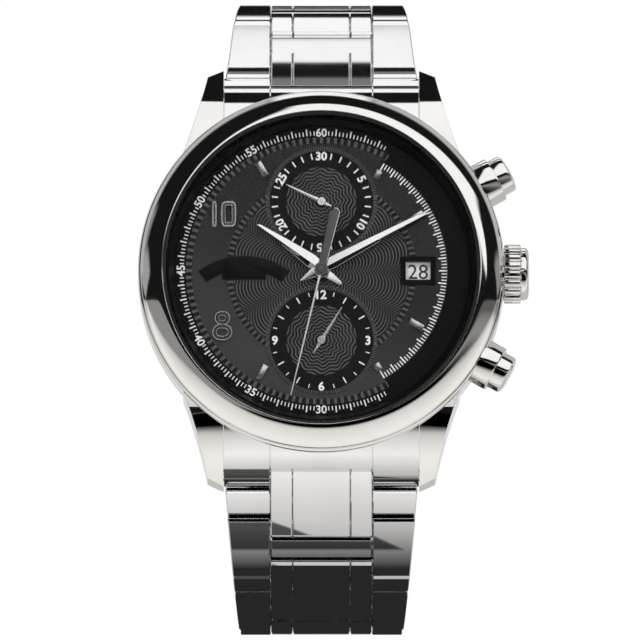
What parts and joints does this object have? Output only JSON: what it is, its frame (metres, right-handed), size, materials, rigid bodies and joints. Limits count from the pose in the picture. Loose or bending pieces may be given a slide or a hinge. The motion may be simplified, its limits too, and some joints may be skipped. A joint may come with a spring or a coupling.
{
  "type": "chronograph wristwatch",
  "caption": "Round steel wristwatch with a black two-register chronograph dial, crown, two pushers and a closed link bracelet with folding clasp.",
  "frame": {"origin": "centre of the case back's flat outer face, which rests on the wrist", "axes": "+Y from the dial towards the wrist, so the dial faces -Y; +Z to twelve o'clock; +X to the crown"},
  "size_m": [0.0439, 0.0571, 0.0725],
  "materials": {
    "case_steel": "mirror polished",
    "bracelet_steel": "polished",
    "sapphire": "clear, anti-reflective",
    "seal_rubber": "matt",
    "dial_black": "lacquered, guilloche centre",
    "silver_trim": "polished",
    "frame_black": "bevelled, black",
    "date_white": "printed",
    "hand_steel": "polished and satin",
    "seconds_grey": "dark satin",
    "movement_nickel": "striped nickel plate",
    "movement_steel": "brushed",
    "gilt_brass": "gilt"
  },
  "bodies": {
    "root": {"case_middle": "case_steel", "bezel": "case_steel", "crystal": "sapphire", "case_gaskets": "seal_rubber", "flange_ring": "dial_black", "case_back": "case_steel", "case_back_glass": "sapphire", "dial": "dial_black", "applied_indices": "silver_trim", "dial_plaque": "dial_black", "date_frame": "frame_black", "main_plate": "movement_nickel", "movement_ring": "movement_steel", "movement_bridges": "movement_nickel", "crown_tube": "case_steel", "pusher_tubes": "case_steel", "spring_bars": "bracelet_steel", "end_link_upper": "bracelet_steel", "end_link_lower": "bracelet_steel"},
    "stem_slide": {"setting_lever": "movement_steel"},
    "crown": {"crown": "case_steel", "crown_gasket": "seal_rubber", "winding_stem": "movement_steel"},
    "pusher_start": {"pusher_start": "case_steel"},
    "pusher_reset": {"pusher_reset": "case_steel"},
    "minute_hand": {"minute_hand": "hand_steel"},
    "hour_hand": {"hour_hand": "hand_steel"},
    "date_disc": {"date_disc": "date_white"},
    "seconds_hand": {"seconds_hand": "seconds_grey"},
    "minute_counter_hand": {"minute_counter_hand": "hand_steel"},
    "hour_counter_hand": {"hour_counter_hand": "hand_steel"},
    "rotor": {"rotor": "movement_nickel"},
    "fourth_wheel": {"fourth_wheel": "gilt_brass"},
    "third_wheel": {"third_wheel": "gilt_brass"},
    "centre_wheel": {"centre_wheel": "gilt_brass"},
    "mainspring_barrel": {"mainspring_barrel": "gilt_brass"},
    "escape_wheel": {"escape_wheel": "gilt_brass"},
    "balance_wheel": {"balance_wheel": "gilt_brass"},
    "pallet_fork": {"pallet_fork": "movement_steel"},
    "upper_row_1": {"upper_row_1": "bracelet_steel"},
    "upper_row_2": {"upper_row_2": "bracelet_steel"},
    "upper_row_3": {"upper_row_3": "bracelet_steel"},
    "upper_row_4": {"upper_row_4": "bracelet_steel"},
    "upper_row_5": {"upper_row_5": "bracelet_steel"},
    "upper_row_6": {"upper_row_6": "bracelet_steel"},
    "upper_row_7": {"upper_row_7": "bracelet_steel"},
    "upper_row_8": {"upper_row_8": "bracelet_steel"},
    "upper_row_9": {"upper_row_9": "bracelet_steel"},
    "lower_row_1": {"lower_row_1": "bracelet_steel"},
    "lower_row_2": {"lower_row_2": "bracelet_steel"},
    "lower_row_3": {"lower_row_3": "bracelet_steel"},
    "lower_row_4": {"lower_row_4": "bracelet_steel"},
    "lower_row_5": {"lower_row_5": "bracelet_steel"},
    "lower_row_6": {"lower_row_6": "bracelet_steel"},
    "lower_row_7": {"lower_row_7": "bracelet_steel"},
    "lower_row_8": {"lower_row_8": "bracelet_steel"},
    "lower_row_9": {"lower_row_9": "bracelet_steel"},
    "clasp_cover": {"clasp_cover": "bracelet_steel"},
    "clasp_middle_blade": {"clasp_middle_blade": "bracelet_steel"},
    "clasp_inner_blade": {"clasp_inner_blade": "bracelet_steel"}
  },
  "joints": [
    {"name": "crown_pull", "type": "slide", "parent": "root", "child": "stem_slide", "axis": [1, 0, 0], "range_m": [0, 0.0012]},
    {"name": "crown_turn", "type": "hinge", "parent": "stem_slide", "child": "crown", "pos_m": [0.02, -0.0072, 0], "axis": [1, 0, 0], "continuous": true},
    {"name": "pusher_start_press", "type": "slide", "parent": "root", "child": "pusher_start", "axis": [-0.8746, 0, -0.4848], "range_m": [0, 0.0008], "stiffness_N_per_m": 300, "springref_m": -0.0005},
    {"name": "pusher_reset_press", "type": "slide", "parent": "root", "child": "pusher_reset", "axis": [-0.8746, 0, 0.4848], "range_m": [0, 0.0008], "stiffness_N_per_m": 300, "springref_m": -0.0005},
    {"name": "minute_hand_turn", "type": "hinge", "parent": "root", "child": "minute_hand", "pos_m": [0, -0.0105, 0], "axis": [0, 1, 0], "continuous": true},
    {"name": "hour_hand_turn", "type": "hinge", "parent": "root", "child": "hour_hand", "pos_m": [0, -0.01, 0], "axis": [0, 1, 0], "continuous": true},
    {"name": "date_disc_turn", "type": "hinge", "parent": "root", "child": "date_disc", "pos_m": [0, -0.0085, 0], "axis": [0, 1, 0], "continuous": true},
    {"name": "seconds_hand_turn", "type": "hinge", "parent": "root", "child": "seconds_hand", "pos_m": [0, -0.011, 0], "axis": [0, 1, 0], "continuous": true},
    {"name": "minute_counter_hand_turn", "type": "hinge", "parent": "root", "child": "minute_counter_hand", "pos_m": [0, -0.0097, 0.0079], "axis": [0, 1, 0], "continuous": true},
    {"name": "hour_counter_hand_turn", "type": "hinge", "parent": "root", "child": "hour_counter_hand", "pos_m": [0, -0.0097, -0.0079], "axis": [0, 1, 0], "continuous": true},
    {"name": "rotor_turn", "type": "hinge", "parent": "root", "child": "rotor", "pos_m": [0, -0.0025, 0], "axis": [0, 1, 0], "continuous": true},
    {"name": "fourth_wheel_turn", "type": "hinge", "parent": "root", "child": "fourth_wheel", "pos_m": [0.0051, -0.0058, -0.00488], "axis": [0, 1, 0], "continuous": true},
    {"name": "third_wheel_turn", "type": "hinge", "parent": "root", "child": "third_wheel", "pos_m": [0.00342, -0.0058, -0.00198], "axis": [0, 1, 0], "continuous": true},
    {"name": "centre_wheel_turn", "type": "hinge", "parent": "root", "child": "centre_wheel", "pos_m": [0, -0.0058, 0], "axis": [0, 1, 0], "continuous": true},
    {"name": "mainspring_barrel_turn", "type": "hinge", "parent": "root", "child": "mainspring_barrel", "pos_m": [-0.0046, -0.0058, 0.00393], "axis": [0, 1, 0], "continuous": true},
    {"name": "escape_wheel_turn", "type": "hinge", "parent": "root", "child": "escape_wheel", "pos_m": [0.00355, -0.0058, -0.00757], "axis": [0, 1, 0], "continuous": true},
    {"name": "balance_wheel_turn", "type": "hinge", "parent": "root", "child": "balance_wheel", "pos_m": [-0.0032, -0.0045, -0.0086], "axis": [0, 1, 0], "range_deg": [-135, 135]},
    {"name": "pallet_fork_turn", "type": "hinge", "parent": "root", "child": "pallet_fork", "pos_m": [0.0006, -0.0058, -0.008], "axis": [0, 1, 0], "range_deg": [-5, 5]},
    {"name": "upper_row_1_hinge", "type": "hinge", "parent": "root", "child": "upper_row_1", "pos_m": [0, -0.0016, 0.0219], "axis": [1, 0, 0], "range_deg": [-12.6, 0.5]},
    {"name": "upper_row_2_hinge", "type": "hinge", "parent": "upper_row_1", "child": "upper_row_2", "pos_m": [0, 0.00305, 0.02553], "axis": [1, 0, 0], "range_deg": [-8.9, 0.5]},
    {"name": "upper_row_3_hinge", "type": "hinge", "parent": "upper_row_2", "child": "upper_row_3", "pos_m": [0, 0.0074, 0.02952], "axis": [1, 0, 0], "range_deg": [-4.2, 0.5]},
    {"name": "upper_row_4_hinge", "type": "hinge", "parent": "upper_row_3", "child": "upper_row_4", "pos_m": [0, 0.0127, 0.0321], "axis": [1, 0, 0], "range_deg": [-1, 0.5]},
    {"name": "upper_row_5_hinge", "type": "hinge", "parent": "upper_row_4", "child": "upper_row_5", "pos_m": [0, 0.01823, 0.03417], "axis": [1, 0, 0], "range_deg": [-0.5, 2.2]},
    {"name": "upper_row_6_hinge", "type": "hinge", "parent": "upper_row_5", "child": "upper_row_6", "pos_m": [0, 0.02411, 0.03458], "axis": [1, 0, 0], "range_deg": [-0.5, 4]},
    {"name": "upper_row_7_hinge", "type": "hinge", "parent": "upper_row_6", "child": "upper_row_7", "pos_m": [0, 0.02989, 0.03336], "axis": [1, 0, 0], "range_deg": [-0.5, 5.9]},
    {"name": "upper_row_8_hinge", "type": "hinge", "parent": "upper_row_7", "child": "upper_row_8", "pos_m": [0, 0.03505, 0.0305], "axis": [1, 0, 0], "range_deg": [-0.5, 7.2]},
    {"name": "upper_row_9_hinge", "type": "hinge", "parent": "upper_row_8", "child": "upper_row_9", "pos_m": [0, 0.03907, 0.02618], "axis": [1, 0, 0], "range_deg": [-0.5, 7.3]},
    {"name": "lower_row_1_hinge", "type": "hinge", "parent": "root", "child": "lower_row_1", "pos_m": [0, -0.0016, -0.0219], "axis": [1, 0, 0], "range_deg": [-13.7, 0.5]},
    {"name": "lower_row_2_hinge", "type": "hinge", "parent": "lower_row_1", "child": "lower_row_2", "pos_m": [0, 0.00191, -0.02664], "axis": [1, 0, 0], "range_deg": [-11, 0.5]},
    {"name": "lower_row_3_hinge", "type": "hinge", "parent": "lower_row_2", "child": "lower_row_3", "pos_m": [0, 0.00646, -0.0304], "axis": [1, 0, 0], "range_deg": [-5.7, 0.5]},
    {"name": "lower_row_4_hinge", "type": "hinge", "parent": "lower_row_3", "child": "lower_row_4", "pos_m": [0, 0.01185, -0.0328], "axis": [1, 0, 0], "range_deg": [-0.5, 2.3]},
    {"name": "lower_row_5_hinge", "type": "hinge", "parent": "lower_row_4", "child": "lower_row_5", "pos_m": [0, 0.01741, -0.03476], "axis": [1, 0, 0], "range_deg": [-0.5, 7.3]},
    {"name": "lower_row_6_hinge", "type": "hinge", "parent": "lower_row_5", "child": "lower_row_6", "pos_m": [0, 0.02331, -0.03466], "axis": [1, 0, 0], "range_deg": [-0.5, 7.6]},
    {"name": "lower_row_7_hinge", "type": "hinge", "parent": "lower_row_6", "child": "lower_row_7", "pos_m": [0, 0.02892, -0.03284], "axis": [1, 0, 0], "range_deg": [-0.5, 5]},
    {"name": "lower_row_8_hinge", "type": "hinge", "parent": "lower_row_7", "child": "lower_row_8", "pos_m": [0, 0.03376, -0.02945], "axis": [1, 0, 0], "range_deg": [-0.5, 2.7]},
    {"name": "lower_row_9_hinge", "type": "hinge", "parent": "lower_row_8", "child": "lower_row_9", "pos_m": [0, 0.03747, -0.02487], "axis": [1, 0, 0], "range_deg": [-0.5, 1.7]},
    {"name": "clasp_cover_hinge", "type": "hinge", "parent": "upper_row_9", "child": "clasp_cover", "pos_m": [0, 0.04147, 0.02079], "axis": [1, 0, 0], "range_deg": [0, 70.01]},
    {"name": "middle_blade_hinge", "type": "hinge", "parent": "clasp_cover", "child": "clasp_middle_blade", "pos_m": [0, 0.04084, -0.01548], "axis": [1, 0, 0], "range_deg": [-0.5, 3.3]},
    {"name": "inner_blade_hinge", "type": "hinge", "parent": "clasp_middle_blade", "child": "clasp_inner_blade", "pos_m": [0, 0.04158, 0.01748], "axis": [1, 0, 0], "range_deg": [-84.9, 0.5]}
  ],
  "couplings": [
    {"joint": "hour_hand_turn", "follows": "minute_hand_turn", "ratio": 0.083333},
    {"joint": "date_disc_turn", "follows": "minute_hand_turn", "ratio": 0.0013441},
    {"joint": "minute_counter_hand_turn", "follows": "seconds_hand_turn", "ratio": 0.033333},
    {"joint": "hour_counter_hand_turn", "follows": "seconds_hand_turn", "ratio": 0.0013889},
    {"joint": "third_wheel_turn", "follows": "fourth_wheel_turn", "ratio": -0.17143},
    {"joint": "centre_wheel_turn", "follows": "fourth_wheel_turn", "ratio": 0.03013},
    {"joint": "mainspring_barrel_turn", "follows": "fourth_wheel_turn", "ratio": -0.0045195},
    {"joint": "escape_wheel_turn", "follows": "fourth_wheel_turn", "ratio": -6.0465},
    {"joint": "upper_row_1_hinge", "follows": "clasp_cover_hinge", "ratio": -0.1729},
    {"joint": "upper_row_2_hinge", "follows": "clasp_cover_hinge", "ratio": -0.11993},
    {"joint": "upper_row_3_hinge", "follows": "clasp_cover_hinge", "ratio": -0.052532},
    {"joint": "upper_row_4_hinge", "follows": "clasp_cover_hinge", "ratio": -0.006439},
    {"joint": "upper_row_5_hinge", "follows": "clasp_cover_hinge", "ratio": 0.024053},
    {"joint": "upper_row_6_hinge", "follows": "clasp_cover_hinge", "ratio": 0.050437},
    {"joint": "upper_row_7_hinge", "follows": "clasp_cover_hinge", "ratio": 0.077163},
    {"joint": "upper_row_8_hinge", "follows": "clasp_cover_hinge", "ratio": 0.095465},
    {"joint": "upper_row_9_hinge", "follows": "clasp_cover_hinge", "ratio": 0.097516},
    {"joint": "lower_row_1_hinge", "follows": "clasp_cover_hinge", "ratio": -0.18789},
    {"joint": "lower_row_2_hinge", "follows": "clasp_cover_hinge", "ratio": -0.15028},
    {"joint": "lower_row_3_hinge", "follows": "clasp_cover_hinge", "ratio": -0.074634},
    {"joint": "lower_row_4_hinge", "follows": "clasp_cover_hinge", "ratio": 0.025412},
    {"joint": "lower_row_5_hinge", "follows": "clasp_cover_hinge", "ratio": 0.097131},
    {"joint": "lower_row_6_hinge", "follows": "clasp_cover_hinge", "ratio": 0.10082},
    {"joint": "lower_row_7_hinge", "follows": "clasp_cover_hinge", "ratio": 0.064699},
    {"joint": "lower_row_8_hinge", "follows": "clasp_cover_hinge", "ratio": 0.032056},
    {"joint": "lower_row_9_hinge", "follows": "clasp_cover_hinge", "ratio": 0.01758},
    {"joint": "middle_blade_hinge", "follows": "clasp_cover_hinge", "ratio": 0.040544},
    {"joint": "inner_blade_hinge", "follows": "clasp_cover_hinge", "ratio": -1.2063}
  ]
}
